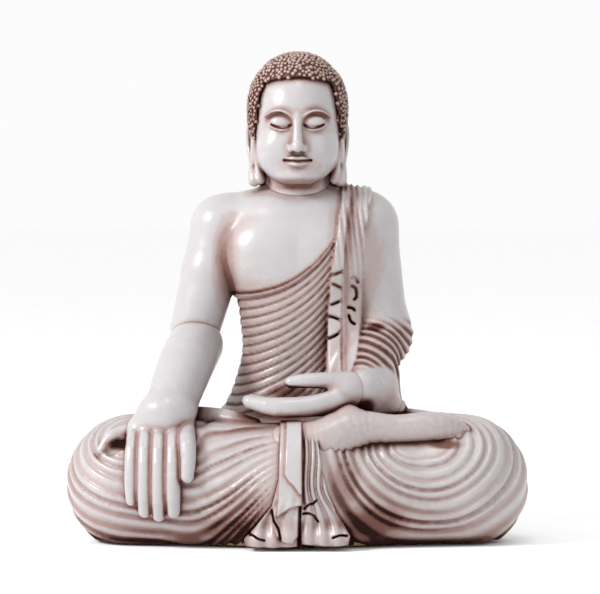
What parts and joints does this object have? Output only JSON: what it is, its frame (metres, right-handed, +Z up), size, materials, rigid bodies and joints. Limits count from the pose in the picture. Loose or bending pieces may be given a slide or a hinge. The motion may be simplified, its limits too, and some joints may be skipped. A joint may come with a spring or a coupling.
{
  "type": "seated buddha statue",
  "caption": "Free-standing seated figure, legs crossed, one hand resting over a knee and one in the lap, in cast marble resin.",
  "frame": {"origin": "on the surface it stands on, under the middle of the statue's overall box", "axes": "+Z up, the figure faces -Y, +X is to the right of a viewer in front of it"},
  "size_m": [0.372, 0.2155, 0.3999],
  "materials": {
    "marble_resin": "glossy ivory-white cast marble resin, brown antique wash in the recesses",
    "dowel_steel": "drawn bar, unpolished",
    "plate_board": "sawn fibreboard, uncoated",
    "pad_felt": "pressed wool felt"
  },
  "bodies": {
    "root": {"head": "marble_resin", "torso": "marble_resin", "right_forearm": "marble_resin", "left_hand": "marble_resin", "legs": "marble_resin", "right_foot": "marble_resin", "front_cloth": "marble_resin", "neck_dowel": "dowel_steel", "elbow_dowel": "dowel_steel", "wrist_dowel": "dowel_steel", "waist_dowels": "dowel_steel", "palm_dowel": "dowel_steel", "foot_dowels": "dowel_steel", "cloth_dowels": "dowel_steel", "base_plate": "plate_board", "felt_pads": "pad_felt"}
  },
  "joints": []
}
